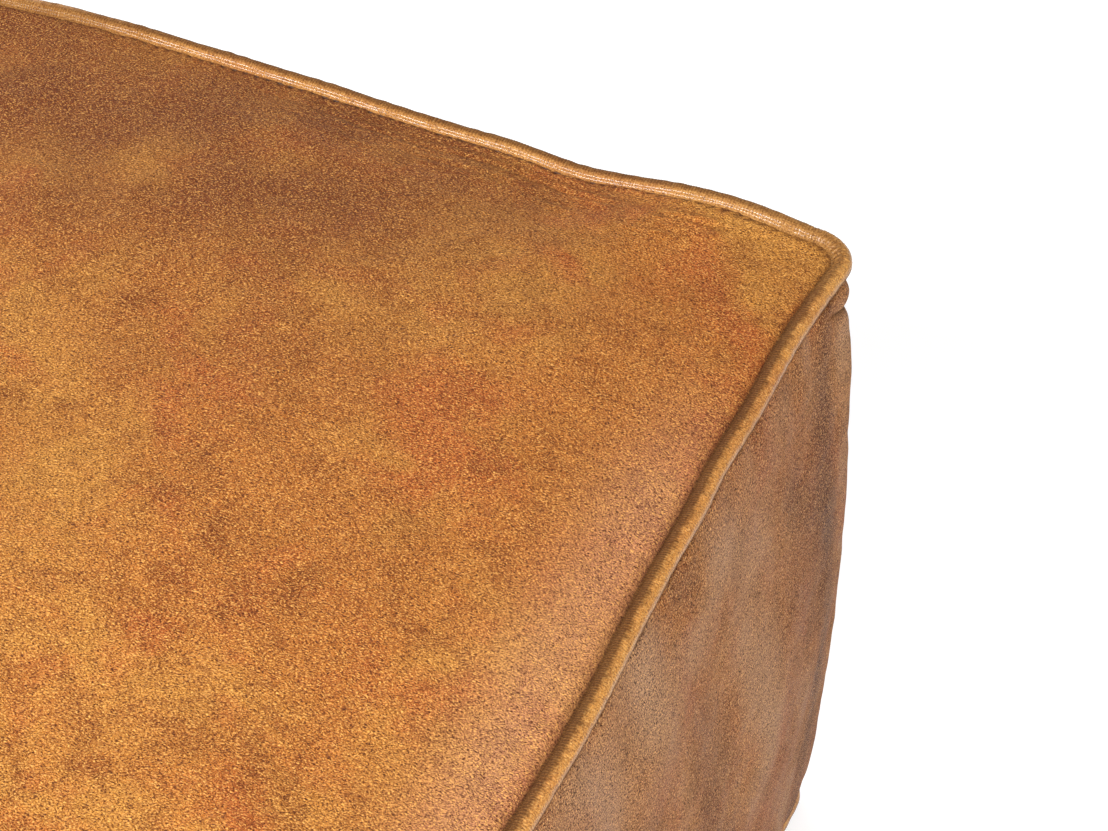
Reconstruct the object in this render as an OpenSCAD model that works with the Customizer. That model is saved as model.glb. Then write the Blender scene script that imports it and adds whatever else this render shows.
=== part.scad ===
// A boxy, soft leather pouf: a leather cover with piped edges over a wadded foam core,
// closed underneath by a zip. The floor is at z = 0, the front faces -Y.

/* [Cover] */
// Width of each side, between the centre lines of the piping
edge_w = 460; // [420:5:560]
// Height of the top piping's centre line above the floor
edge_z = 398; // [340:2:460]
// Radius of the piping's centre line at each corner, seen from above
edge_r = 16; // [14:1:30]
// How far a side swells out at its middle
side_swell = 25; // [15:1:35]
// How far the side swells out where it turns a corner
corner_swell = 15; // [8:1:20]
// How far the top swells up above its piping
top_swell = 30; // [15:1:45]
// Thickness of the cover leather
leather_t = 1.3; // [1:0.1:1.6]

/* [Piping] */
// Outer diameter of the piping
piping_d = 8; // [7:0.5:9]
// Diameter of the cord inside the piping
cord_d = 5.3; // [4:0.1:5.6]
// Thickness of the leather round the cord
piping_leather_t = 1.2; // [0.8:0.1:1.2]
// Height of the base piping's centre line above the floor
base_edge_z = 9; // [8:0.5:12]
// Width of the seam allowance inside the cover
allowance = 12; // [8:0.5:12]

/* [Zip] */
// Length of the row of teeth
zip_l = 360; // [240:6:372]
// Distance between neighbouring teeth on one side
tooth_pitch = 3; // [2.5:0.1:4]
// Height of the middle of the zip above the floor
zip_z = 8; // [8:0.2:8.6]
// Width of one zip tape
tape_w = 12.5; // [11:0.5:16]
// Length of the pull tab from its pin to its end
pull_l = 26; // [20:1:34]

/* [Filling] */
// Thickness of the wadding above and below the core
wadding_t = 34; // [20:1:40]
// Width of the foam core
core_w = 380; // [300:5:390]

/* [Hidden] */

leather_colour = "peru";
piping_colour = "sienna";
thread_colour = "saddlebrown";
cotton_colour = "wheat";
wadding_colour = "white";
foam_colour = "khaki";
tape_colour = "saddlebrown";
brass_colour = "goldenrod";

// Seams, as distances inward from the piping's centre line and up or down from it
edge_h = edge_w / 2;
straight_h = edge_h - edge_r;
piping_r = piping_d / 2;
flange_t = 2;
gap = 0.1;
tuck = piping_r + 0.6;
under = flange_t / 2 + gap;

// Grid of the swept and gridded shells
side_steps = 10;
arc_steps = 4;
level_steps = 12;
ring_steps = 10;
crown_power = 2.6;

// Sides: where the side leather leaves its seams
side_lo = base_edge_z + piping_r + 1.3;
side_hi = edge_z - piping_r - 1.3;
side_inset = 2.6;

// Base panel: it rises to the piping at its rim and to the zip at its lips. The lips run on
// past the end of the zip, so that the pull tab lies free under them.
rim_h = base_edge_z - under - leather_t;
rim_w = 20;
lip_h = zip_z - 2;
lip_w = 24;
lip_end = zip_l / 2 + 20;
lip_fade = 20;
slot_h = 8;
slot_l = zip_l / 2 + 4;
slot_fade = 10;

// Zip
tooth_l = 2.6;
tooth_t = 2.6;
slot_w = 0.8;
tape_t = 0.8;
stop_t = 3;
tape_in = slot_w + tooth_l + gap;
tape_h = tape_in + tape_w;
tape_l = zip_l + 24;
thread_d = 0.8;
slide_clear = 0.4;
plate_t = 1.2;
slider_l = 14;
slider_w = 10.6;
slider_tail_w = 9.4;
rim_in = 4;
slider_x = zip_l / 2 - slider_l / 2 - 3;
lower_z = zip_z - tooth_t / 2 - slide_clear - plate_t;
upper_z = zip_z + tooth_t / 2 + slide_clear;
pin_z = 2.4;
pin_r = 0.8;
pin_x = slider_x - 1;
eye_r = 1.8;
eye_bore_r = 1.1;
pull_w = 6;
pull_t = 1.6;
pull_end_r = 4;
pull_hole_r = 1.8;
lug_t = 1.2;
lug_r = 1.6;
post_l = 2.4;
post_w = 1;
post_in = 3;

// Inside
liner_t = 0.6;
liner_gap = 1.2;
core_h = core_w / 2;
inner_h = edge_h - allowance - 2;
inner_r = 20;
groove_h = 34;
groove_z = zip_z + 4;
floor_z = leather_t + 0.7;
core_lo = floor_z + wadding_t;
core_hi = edge_z - wadding_t;
dome_r = 1080;
dome_z = edge_z + top_swell - 2 * leather_t - 4;

function smooth(t) =
  let (c = max(0, min(1, t)))
  c * c * (3 - 2 * c);

// How full the side is at a height from 0 (base seam) to 1 (top seam). A power below 1 on the
// height moves the fullest place down, and one below 1 on the sine makes the curve boxier.
belly_sag = 0.72;
belly_boxiness = 0.48;
function belly(t) = pow(sin(180 * pow(t, belly_sag)), belly_boxiness);
function level(j) = (1 - cos(180 * j / level_steps)) / 2;
function side_z(t) = side_lo + (side_hi - side_lo) * t;

// A station is [x, y, direction of the outward normal, nearness to the middle of the side]
function side_station(along, q) =
  let (a = 90 * q)
  [
    edge_h * cos(a) - along * sin(a),
    edge_h * sin(a) + along * cos(a),
    a,
    1 - pow(along / straight_h, 2)
  ];
function arc_station(turn, q) =
  let (a = 90 * q, b = a + turn)
  [
    straight_h * (cos(a) - sin(a)) + edge_r * cos(b),
    straight_h * (sin(a) + cos(a)) + edge_r * sin(b),
    b,
    0
  ];
function quarter(q) = concat(
  [for (j = [0:side_steps - 1]) side_station(straight_h * (2 * j / side_steps - 1), q)],
  [for (j = [0:arc_steps - 1]) arc_station(90 * j / arc_steps, q)]
);
function full_loop() = [for (q = [0:3]) each quarter(q)];

// Stations from the front seam round the right side to the back seam
seam_gap = 0.1;
function right_half() = concat(
  [
    side_station(seam_gap, -1),
    for (j = [1:side_steps / 2]) side_station(straight_h * 2 * j / side_steps, -1)
  ],
  [for (j = [1:arc_steps - 1]) arc_station(90 * j / arc_steps, -1)],
  [for (s = quarter(0)) s],
  [for (j = [0:side_steps / 2 - 1]) side_station(straight_h * (2 * j / side_steps - 1), 1)],
  [side_station(-seam_gap, 1)]
);

function place(s, out, z, scale = 1) =
  [s[0] * scale + out * cos(s[2]), s[1] * scale + out * sin(s[2]), z];
function swell(s) = corner_swell + (side_swell - corner_swell) * s[3];

// Sweeps a closed profile of [outward offset, z, share of the swell] past the stations. A fourth
// number draws a point in towards the middle of the pouf by that scale. The two halves of the
// profile run side by side, so an end is closed by a strip between them.
module sweep(stations, profile, closed) {
  n = len(stations);
  p = len(profile);
  points = [
    for (s = stations) for (v = profile)
      place(s, v[0] + swell(s) * v[2], v[1], len(v) > 3 ? v[3] : 1)
  ];
  last = closed ? n - 1 : n - 2;
  walls = [
    for (k = [0:last]) for (i = [0:p - 1])
      let (a = k * p, b = ((k + 1) % n) * p, j = (i + 1) % p)
      each [[a + i, a + j, b + j], [a + i, b + j, b + i]]
  ];
  front = [
    for (i = [0:p / 2 - 2])
      each [[p - 1 - i, p - 2 - i, i + 1], [p - 1 - i, i + 1, i]]
  ];
  back = [for (f = front) [f[2], f[1], f[0]] + (n - 1) * [p, p, p]];
  caps = closed ? [] : concat(front, back);
  polyhedron(points, concat(walls, caps), convexity = 6);
}

// Outline of the side leather: outer face upwards, then its inner face downwards. It turns in
// over a small bend at each seam, and ends in the seam allowance.
bend_in = 0.8;
bend_up = 2.1;
inner_bend_in = 2;
inner_bend_up = 1.6;
function side_profile() =
  let (t = leather_t, top = edge_z - under, bot = base_edge_z + under)
  concat(
    [[-allowance, bot, 0], [-tuck - bend_in, bot, 0], [-tuck, bot + bend_up, 0]],
    [for (j = [0:level_steps]) [-side_inset, side_z(level(j)), belly(level(j))]],
    [[-tuck, top - bend_up, 0], [-tuck - bend_in, top, 0], [-allowance, top, 0]],
    [
      [-allowance, top - t, 0], [-tuck - inner_bend_in, top - t, 0],
      [-tuck - t, top - t - inner_bend_up, 0]
    ],
    [
      for (j = [level_steps:-1:0])
        [-side_inset - t, side_z(level(j)) - t * (2 * level(j) - 1), belly(level(j))]
    ],
    [
      [-tuck - t, bot + t + inner_bend_up, 0], [-tuck - inner_bend_in, bot + t, 0],
      [-allowance, bot + t, 0]
    ]
  );

// Points up the inside of the side leather, a distance in from it
wall_steps = 8;
function wall_points(inset, lo, hi) = [
  for (j = [0:wall_steps])
    let (z = lo + (hi - lo) * j / wall_steps)
    [-side_inset - inset, z, belly((z - side_lo) / (side_hi - side_lo))]
];
function reversed(v) = [for (i = [len(v) - 1:-1:0]) v[i]];

// Height of the top leather's upper face: it rises from its rim and is smooth in the middle
function crown_share(v) = 1 - pow(min(1, abs(v) / (edge_h - tuck)), crown_power);
function crown(v) =
  let (rim = under + leather_t)
  edge_z + rim + (top_swell - rim) * crown_share(v[0]) * crown_share(v[1]);

// A crowned sheet: its upper face is crown(), lowered by drop
module crowned_sheet(rim_inset, thick, drop) {
  rim = [for (s = full_loop()) place(s, -rim_inset, 0)];
  n = len(rim);
  upper = [for (i = [1:ring_steps]) for (v = rim)
    let (w = v * i / ring_steps)
    [w[0], w[1], crown(w) - drop]];
  lower = [for (v = upper) v - [0, 0, thick]];
  m = len(upper);
  centre = 2 * m;
  top_faces = [
    for (i = [0:ring_steps - 2]) for (k = [0:n - 1])
      let (a = i * n + k, b = i * n + (k + 1) % n)
      each [[a, b + n, b], [a, a + n, b + n]]
  ];
  low_faces = [for (f = top_faces) [f[2] + m, f[1] + m, f[0] + m]];
  fan_top = [for (k = [0:n - 1]) [centre, k, (k + 1) % n]];
  fan_low = [for (k = [0:n - 1]) [centre + 1, m + (k + 1) % n, m + k]];
  r = (ring_steps - 1) * n;
  edge = [
    for (k = [0:n - 1])
      let (a = r + k, b = r + (k + 1) % n)
      each [[a, a + m, b + m], [a, b + m, b]]
  ];
  top = crown([0, 0]) - drop;
  points = concat(upper, lower, [[0, 0, top], [0, 0, top - thick]]);
  flipped = [for (f = concat(top_faces, low_faces, fan_top, fan_low, edge)) [f[2], f[1], f[0]]];
  polyhedron(points, flipped, convexity = 4);
}

// Draws a 2D profile all round the edge: X points outward from the centre line, Y up
module edge_ring(z, inset = 0) {
  h = edge_h - inset;
  r = edge_r - inset;
  translate([0, 0, z]) for (q = [0:3]) rotate(90 * q) {
    translate([h, straight_h, 0]) rotate([90, 0, 0]) linear_extrude(2 * straight_h) children();
    translate([straight_h, straight_h, 0])
      rotate_extrude(angle = 90, $fn = 64) translate([r, 0]) children();
  }
}

module piping_profile() {
  difference() {
    union() {
      circle(d = piping_d, $fn = 48);
      translate([-allowance, -flange_t / 2]) square([allowance - piping_r + 0.5, flange_t]);
    }
    circle(r = piping_r - piping_leather_t, $fn = 48);
  }
}

module rounded_plate(h, r, t) {
  linear_extrude(t) union() {
    square([2 * h, 2 * (h - r)], center = true);
    square([2 * (h - r), 2 * h], center = true);
    for (x = [-1, 1], y = [-1, 1]) translate([x * (h - r), y * (h - r)]) circle(r, $fn = 48);
  }
}

module top_panel() {
  color(leather_colour) crowned_sheet(tuck, leather_t, 0);
}

module side_band_right() {
  color(leather_colour) sweep(right_half(), side_profile(), false);
}

module side_band_left() {
  color(leather_colour) mirror([1, 0, 0]) sweep(right_half(), side_profile(), false);
}

// Underside of the base panel: it lifts to the piping at its rim and to the zip at its lip
base_h = edge_h - tuck;
base_corner_r = edge_r - tuck;
function base_under(x, y) =
  let (
    edge = min(base_h - abs(x), base_h - y),
    rim = rim_h * (1 - smooth(edge / rim_w)),
    beside = 1 - smooth((y - slot_h) / lip_w),
    along = 1 - smooth((abs(x) - lip_end) / lip_fade)
  )
  max(rim, lip_h * beside * along);
function inner_y(x) = seam_gap + (slot_h - seam_gap) * (1 - smooth((abs(x) - slot_l) / slot_fade));
function outer_y(x) =
  let (over = max(0, abs(x) - (base_h - base_corner_r)))
  base_h - base_corner_r + sqrt(max(0, pow(base_corner_r, 2) - over * over));

// Grid of one base panel: its columns are closer where the slot and the lips end, and its rows,
// as shares of the way from the zip to the rim, are closer beside the lip and beside the rim
fade_steps = 4;
corner_steps = 5;
base_xs = let (
    slot_end = slot_l + slot_fade,
    corner_x = base_h - base_corner_r,
    beside_zip = [for (i = [0:3]) i * slot_l / 4],
    fade = [for (i = [0:fade_steps - 1]) slot_l + i * slot_fade / fade_steps],
    run_out = [for (i = [0:fade_steps - 1]) slot_end + i * (corner_x - slot_end) / fade_steps],
    corner = [for (i = [0:corner_steps]) corner_x + base_corner_r * sin(90 * i / corner_steps)],
    half = concat(beside_zip, fade, run_out, corner)
  )
  concat([for (i = [len(half) - 1:-1:1]) -half[i]], half);
row_step = 0.03;
base_rows = concat(
  [for (i = [0:5]) i * row_step],
  [0.5, 0.89],
  [for (i = [3:-1:0]) 1 - i * row_step]
);

module base_panel() {
  nx = len(base_xs);
  ny = len(base_rows);
  flat = [
    for (x = base_xs) for (f = base_rows)
      let (y = inner_y(x) + (outer_y(x) - inner_y(x)) * f)
      [x, y, base_under(x, y)]
  ];
  m = len(flat);
  points = concat(flat, [for (v = flat) v + [0, 0, leather_t]]);
  cells = [for (i = [0:nx - 2]) for (j = [0:ny - 2]) i * ny + j];
  low = [for (c = cells) each [[c, c + 1, c + ny + 1], [c, c + ny + 1, c + ny]]];
  high = [for (f = low) [f[2] + m, f[1] + m, f[0] + m]];
  border = concat(
    [for (j = [0:ny - 2]) j],
    [for (i = [0:nx - 2]) i * ny + ny - 1],
    [for (j = [ny - 1:-1:1]) (nx - 1) * ny + j],
    [for (i = [nx - 1:-1:1]) i * ny]
  );
  b = len(border);
  wall = [
    for (i = [0:b - 1])
      let (p = border[i], q = border[(i + 1) % b])
      each [[p, p + m, q + m], [p, q + m, q]]
  ];
  polyhedron(points, [for (f = concat(low, high, wall)) [f[2], f[1], f[0]]], convexity = 6);
}

module base_panel_back() {
  color(leather_colour) base_panel();
}

module base_panel_front() {
  color(leather_colour) mirror([0, 1, 0]) base_panel();
}

module top_piping() {
  color(piping_colour) edge_ring(edge_z) piping_profile();
}

module base_piping() {
  color(piping_colour) edge_ring(base_edge_z) piping_profile();
}

module top_piping_cord() {
  color(cotton_colour) edge_ring(edge_z) circle(d = cord_d, $fn = 32);
}

module base_piping_cord() {
  color(cotton_colour) edge_ring(base_edge_z) circle(d = cord_d, $fn = 32);
}

// Each seam's thread runs along the inner side of the turned-in side leather
thread_drop = under + leather_t + thread_d / 2 + gap;
thread_inset = tuck + 3.6;
zip_seam_in = 3;

module top_seam_thread() {
  color(thread_colour) edge_ring(edge_z - thread_drop, thread_inset) circle(d = thread_d, $fn = 16);
}

module base_seam_thread() {
  color(thread_colour) edge_ring(base_edge_z + thread_drop, thread_inset) circle(d = thread_d, $fn = 16);
}

module zip_seam_thread() {
  z = zip_z + tape_t / 2 + thread_d / 2 + gap;
  y = tape_h - zip_seam_in;
  color(thread_colour) for (side = [-1, 1])
    translate([-zip_l / 2, side * y, z])
      rotate([0, 90, 0]) cylinder(h = zip_l, d = thread_d, $fn = 16);
}

module liner_lid() {
  color(cotton_colour) crowned_sheet(allowance + 1, liner_t, leather_t + 1);
}

liner_short = 14;
liner_lo = side_lo + liner_short;
liner_hi = side_hi - liner_short;

module liner_side() {
  inset = leather_t + liner_gap;
  outside = wall_points(inset, liner_lo, liner_hi);
  inside = reversed(wall_points(inset + liner_t, liner_lo, liner_hi));
  color(cotton_colour) sweep(full_loop(), concat(outside, inside), true);
}

// Line, across the zip, of an underside that steps up over the zip
groove_slope = 8;
function stepped_line(lo) =
  let (up = groove_z - floor_z)
  [
    [-inner_h, lo], [-groove_h - groove_slope, lo], [-groove_h, lo + up],
    [groove_h, lo + up], [groove_h + groove_slope, lo], [inner_h, lo]
  ];

module stepped_layer(lo, hi) {
  polygon(concat(stepped_line(lo), [[inner_h, hi], [-inner_h, hi]]));
}

module stepped_sheet(lo, thick) {
  polygon(concat(stepped_line(lo), reversed(stepped_line(lo + thick))));
}

module along_x() {
  rotate([90, 0, 90]) linear_extrude(2 * inner_h, center = true) children();
}

rim_lift = 9;

module liner_base() {
  color(cotton_colour) intersection() {
    along_x() stepped_sheet(floor_z, liner_t);
    translate([0, 0, -1]) rounded_plate(inner_h - rim_lift, inner_r, core_lo);
  }
}

module fibre_base() {
  color(wadding_colour) intersection() {
    along_x() stepped_layer(floor_z + liner_t + gap, core_lo - gap);
    translate([0, 0, -1]) rounded_plate(inner_h - rim_lift, inner_r, core_lo + 1);
  }
}

module fibre_top() {
  color(wadding_colour) intersection() {
    translate([0, 0, core_hi + gap]) rounded_plate(inner_h - 1, inner_r, wadding_t + top_swell);
    translate([0, 0, dome_z - dome_r]) sphere(dome_r, $fn = 360);
  }
}

// Wadding between the foam core and the liner, all round
belt_short = 8;

module fibre_belt() {
  lo = core_lo + belt_short;
  hi = core_hi - belt_short;
  outside = wall_points(leather_t + 2 * liner_gap + liner_t, lo, hi);
  inside = (core_h + 1) / edge_h;
  back = [[0, hi, 0, inside], [0, lo, 0, inside]];
  color(wadding_colour) sweep(full_loop(), concat(outside, back), true);
}

module foam_core() {
  color(foam_colour) translate([0, 0, core_lo]) rounded_plate(core_h, edge_r, core_hi - core_lo);
}

module zip_tape(side) {
  y = side > 0 ? tape_in : -tape_h;
  color(tape_colour) translate([-tape_l / 2, y, zip_z - tape_t / 2]) cube([tape_l, tape_w, tape_t]);
}

module zip_tape_front() {
  zip_tape(-1);
}

module zip_tape_back() {
  zip_tape(1);
}

// One tooth: a stem on the tape and a wider head, with a narrower nose, towards the other row
module tooth() {
  stem = 0.55;
  head = 0.9;
  nose = 0.5;
  stem_from = 1.3;
  head_to = 0.9;
  head_from = 0.3;
  half = [
    [nose, 0], [head, head_from], [head, head_to], [stem, stem_from], [stem, tooth_l]
  ];
  translate([0, 0, zip_z - tooth_t / 2]) linear_extrude(tooth_t)
    polygon(concat(half, [for (v = reversed(half)) [-v[0], v[1]]]));
}

// Both rows stay clear of the stops at the two ends
module teeth(shift) {
  ends_clear = 8;
  count = floor((zip_l - ends_clear) / tooth_pitch);
  color(brass_colour) for (i = [0:count - 1])
    translate([(i - (count - 1) / 2) * tooth_pitch + shift, slot_w, 0]) tooth();
}

module zip_teeth_back() {
  teeth(0);
}

module zip_teeth_front() {
  mirror([0, 1, 0]) teeth(tooth_pitch / 2);
}

module zip_top_stops() {
  color(brass_colour) for (side = [-1, 1])
    translate([zip_l / 2, side * (slot_w + tooth_l / 2), zip_z])
      cube([stop_t, tooth_l, stop_t], center = true);
}

module zip_bottom_stop() {
  color(brass_colour) translate([-zip_l / 2, 0, zip_z])
    cube([4, 2 * (slot_w + tooth_l), stop_t], center = true);
}

// Outline of a slider plate, wide at its mouth (towards +X) and narrower at its tail, with its
// corners cut
module slider_outline() {
  mouth = slider_l / 2;
  w = slider_w / 2;
  tail = slider_tail_w / 2;
  widest = mouth - 3;
  cut = 1;
  half = [
    [-mouth, tail - cut], [-mouth + cut, tail], [0, tail], [widest, w], [mouth - cut, w],
    [mouth, w - cut]
  ];
  polygon(concat(half, [for (v = reversed(half)) [v[0], -v[1]]]));
}

// Rims that turn in beside the teeth, above and below the tape
module slider_rims(h) {
  linear_extrude(h) difference() {
    slider_outline();
    square([slider_l + 2, 2 * rim_in], center = true);
  }
}

// Two ears below the slider that hold the pull's pin
module slider_lugs() {
  lug_y = (pull_w + lug_t) / 2 + slide_clear;
  into_plate = 0.5;
  for (side = [-1, 1]) translate([pin_x - slider_x, side * lug_y, 0]) {
    rotate([90, 0, 0]) cylinder(h = lug_t, r = lug_r, center = true, $fn = 32);
    translate([-lug_r, -lug_t / 2, 0]) cube([2 * lug_r, lug_t, lower_z - pin_z + into_plate]);
  }
}

module zip_slider() {
  rim_z = lower_z + plate_t;
  rim = zip_z - tape_t / 2 - slide_clear - rim_z;
  color(brass_colour) translate([slider_x, 0, 0]) {
    translate([0, 0, lower_z]) linear_extrude(plate_t) slider_outline();
    translate([0, 0, upper_z]) linear_extrude(plate_t) slider_outline();
    translate([0, 0, rim_z]) slider_rims(rim);
    translate([0, 0, upper_z - rim]) slider_rims(rim);
    translate([slider_l / 2 - post_in, 0, (lower_z + upper_z + plate_t) / 2])
      cube([post_l, post_w, upper_z - lower_z], center = true);
    translate([0, 0, pin_z]) slider_lugs();
    translate([pin_x - slider_x, 0, pin_z])
      rotate([90, 0, 0]) cylinder(h = pull_w + 2 * lug_t, r = pin_r, center = true, $fn = 32);
  }
}

// Flat tab lying back along the zip, with a barrel round the slider's pin and a holed round end
module zip_pull() {
  neck_w = pull_w - 1;
  end_x = pull_end_r - pull_l;
  color(brass_colour) translate([pin_x, 0, pin_z]) difference() {
    union() {
      rotate([90, 0, 0]) cylinder(h = neck_w, r = eye_r, center = true, $fn = 32);
      translate([end_x, -neck_w / 2, -pull_t / 2]) cube([-end_x - pin_r, neck_w, pull_t]);
      translate([end_x, 0, -pull_t / 2]) cylinder(h = pull_t, r = pull_end_r, $fn = 32);
    }
    rotate([90, 0, 0]) cylinder(h = pull_w + 2, r = eye_bore_r, center = true, $fn = 32);
    translate([end_x, 0, -pull_t]) cylinder(h = 2 * pull_t, r = pull_hole_r, $fn = 32);
  }
}

top_panel();
side_band_right();
side_band_left();
base_panel_front();
base_panel_back();
top_piping();
top_piping_cord();
base_piping();
base_piping_cord();
top_seam_thread();
base_seam_thread();
zip_seam_thread();
liner_lid();
liner_side();
liner_base();
fibre_top();
fibre_belt();
fibre_base();
foam_core();
zip_tape_front();
zip_tape_back();
zip_teeth_front();
zip_teeth_back();
zip_top_stops();
zip_bottom_stop();
zip_slider();
zip_pull();
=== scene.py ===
"""Looks of a boxy leather pouf: its cover, piping, stitches, zip and filling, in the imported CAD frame.

Shapes are worked out in millimetres and become metres when a mesh is made. A place on the cover
is given by `s`, the distance round the piping's centre line from the middle of the front, and by
`w`, the distance from the top seam: inward in plan on the top, and downward on the side.
"""

import math

import bmesh
import bpy
import numpy as np
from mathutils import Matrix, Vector


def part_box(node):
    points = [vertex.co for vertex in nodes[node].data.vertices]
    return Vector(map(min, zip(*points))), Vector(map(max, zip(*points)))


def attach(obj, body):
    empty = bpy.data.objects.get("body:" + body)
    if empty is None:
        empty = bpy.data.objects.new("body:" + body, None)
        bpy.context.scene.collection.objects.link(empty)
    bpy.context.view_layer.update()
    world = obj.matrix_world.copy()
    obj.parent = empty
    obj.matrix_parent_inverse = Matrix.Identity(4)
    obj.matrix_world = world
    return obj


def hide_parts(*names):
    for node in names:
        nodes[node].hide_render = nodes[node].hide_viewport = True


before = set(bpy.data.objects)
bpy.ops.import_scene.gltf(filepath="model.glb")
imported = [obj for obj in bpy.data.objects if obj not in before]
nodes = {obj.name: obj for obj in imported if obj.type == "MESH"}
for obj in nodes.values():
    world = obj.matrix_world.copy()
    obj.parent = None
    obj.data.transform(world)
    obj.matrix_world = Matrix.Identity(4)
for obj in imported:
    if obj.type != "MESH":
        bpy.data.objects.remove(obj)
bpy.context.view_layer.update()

MM = 0.001


def box_mm(node):
    low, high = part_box(node)
    return np.array(low) / MM, np.array(high) / MM


# ---------------------------------------------------------------- sizes

top_low, top_high = box_mm("top_piping")
base_low, base_high = box_mm("base_piping")
cord_low, cord_high = box_mm("top_piping_cord")
_, band_high = box_mm("side_band_right")
_, panel_high = box_mm("top_panel")

PIPING_D = top_high[2] - top_low[2]
PIPING_R = PIPING_D / 2
EDGE_H = top_high[0] - PIPING_R
EDGE_Z = (top_high[2] + top_low[2]) / 2
BASE_Z = (base_high[2] + base_low[2]) / 2
EDGE_R = 16
STRAIGHT_H = EDGE_H - EDGE_R
TUCK = EDGE_H - panel_high[0]
CROWN = panel_high[2] - EDGE_Z
RIM = 2.4
CROWN_POWER = 2.6
LEATHER_T = 1.3
BACK_FACE = LEATHER_T + 0.6
ALLOWANCE = 12
FLANGE_H = 1.0
SIDE_GAP = PIPING_R + 1.3
SIDE_LO = BASE_Z + SIDE_GAP
SIDE_HI = EDGE_Z - SIDE_GAP
SIDE_H = SIDE_HI - SIDE_LO
SIDE_INSET = 2.6
SIDE_SWELL = band_high[0] - EDGE_H + SIDE_INSET
CORNER_SWELL = SIDE_SWELL - 10
BELLY_SAG = 0.72
BELLY_BOXINESS = 0.48

QUARTER = 2 * STRAIGHT_H + math.pi / 2 * EDGE_R
LOOP = 4 * QUARTER
CORNER_S = STRAIGHT_H + QUARTER + math.pi / 4 * EDGE_R
STITCH = 6
SEGMENTS = 1808
PIPING_SEGMENTS = 4520
CORD_SEGMENTS = 1450
UP = np.array([0, 0, 1.0])


# ---------------------------------------------------------------- numbers along and over the leather

def bump(x, middle, width, power=2):
    return np.exp(-np.abs((x - middle) / width) ** power)


def smooth(t):
    t = np.clip(t, 0, 1)
    return t * t * (3 - 2 * t)


def field(points, wavelength, seed, count=14):
    """A smooth random value, mostly between -1.5 and 1.5, that changes over about a wavelength."""
    rng = np.random.default_rng(seed)
    ways = rng.normal(size=(3, count))
    ways /= np.linalg.norm(ways, axis=0)
    ways *= 2 * math.pi / (wavelength * rng.uniform(0.7, 1.5, count))
    return np.cos(points @ ways + rng.uniform(0, 2 * math.pi, count)).sum(1) * math.sqrt(1.0 / count)


def round_loop(s, wavelength, seed, count=7):
    """A smooth random value, mostly between -1.5 and 1.5, of waves that close round the edge."""
    rng = np.random.default_rng(seed)
    total = np.zeros_like(s, dtype=float)
    for _ in range(count):
        waves = max(1, round(LOOP / (wavelength * rng.uniform(0.7, 1.4))))
        total += np.cos(2 * math.pi * waves * s / LOOP + rng.uniform(0, 2 * math.pi))
    return total * math.sqrt(1.0 / count)


def stations(s):
    """Places on the nominal centre line of the piping: x, y, the outward normal's x and y, and
    how near each is to the middle of its side, from 0 at a corner to 1."""
    u = (np.asarray(s, float) + STRAIGHT_H) % LOOP
    side = np.floor(u / QUARTER)
    v = u - side * QUARTER
    along = np.minimum(v, 2 * STRAIGHT_H) - STRAIGHT_H
    turn = np.clip((v - 2 * STRAIGHT_H) / EDGE_R, 0, math.pi / 2)
    a = (side - 1) * math.pi / 2
    b = a + turn
    x = STRAIGHT_H * np.cos(a) - along * np.sin(a) + EDGE_R * np.cos(b)
    y = STRAIGHT_H * np.sin(a) + along * np.cos(a) + EDGE_R * np.sin(b)
    return x, y, np.cos(b), np.sin(b), 1 - (along / STRAIGHT_H) ** 2


def from_corner(s):
    """Distance round the edge from the back right corner, negative towards the front."""
    return (s - CORNER_S + LOOP / 2) % LOOP - LOOP / 2


def corner_gap(s):
    """Distance from s to the nearest corner's arc."""
    v = (np.asarray(s, float) + STRAIGHT_H) % QUARTER
    return np.maximum(0, np.minimum(v, 2 * STRAIGHT_H - v))


def edge_wave(s):
    """How far the top seam strays outward and upward. Beside the back right corner the back edge
    rises and then dips, and the right edge is drawn in; the other corners droop a little."""
    c = from_corner(s)
    seen = bump(c, 0, 350, 8)
    out = -1.1 + 1.6 * bump(c, 0, 30) - 2.2 * bump(c, -70, 40) - 2.2 * bump(c, -140, 30)
    out += 1.7 * bump(c, -300, 50) - 1.4 * bump(c, -205, 45)
    up = 0.8 - 1.8 * bump(c, 0, 32) + 4.6 * bump(c, 55, 32)
    up -= 3.9 * bump(c, 128, 26) + 2.1 * bump(c, 200, 45)
    out += (1 - seen) * 1.3 * round_loop(s, 260, 11)
    up += (1 - seen) * (1.6 * round_loop(s, 230, 12) - 2.2 * bump(corner_gap(s), 0, 30))
    return out, up


def sideways(s):
    """The level direction that looks straight out of the side at each station."""
    _, _, nx, ny, _ = stations(s)
    return np.stack([nx, ny, np.zeros_like(nx)], 1)


def centre_line(s, z, waves):
    """The piping's centre line with its waves, and its outward normals, as rows of x, y, z."""
    x, y, *_ = stations(s)
    out, up = edge_wave(s)
    normal = sideways(s)
    line = np.stack([x, y, np.full_like(x, z)], 1)
    line += waves * (normal * out[:, None] + UP * up[:, None])
    return line, normal


# ---------------------------------------------------------------- meshes

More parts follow.
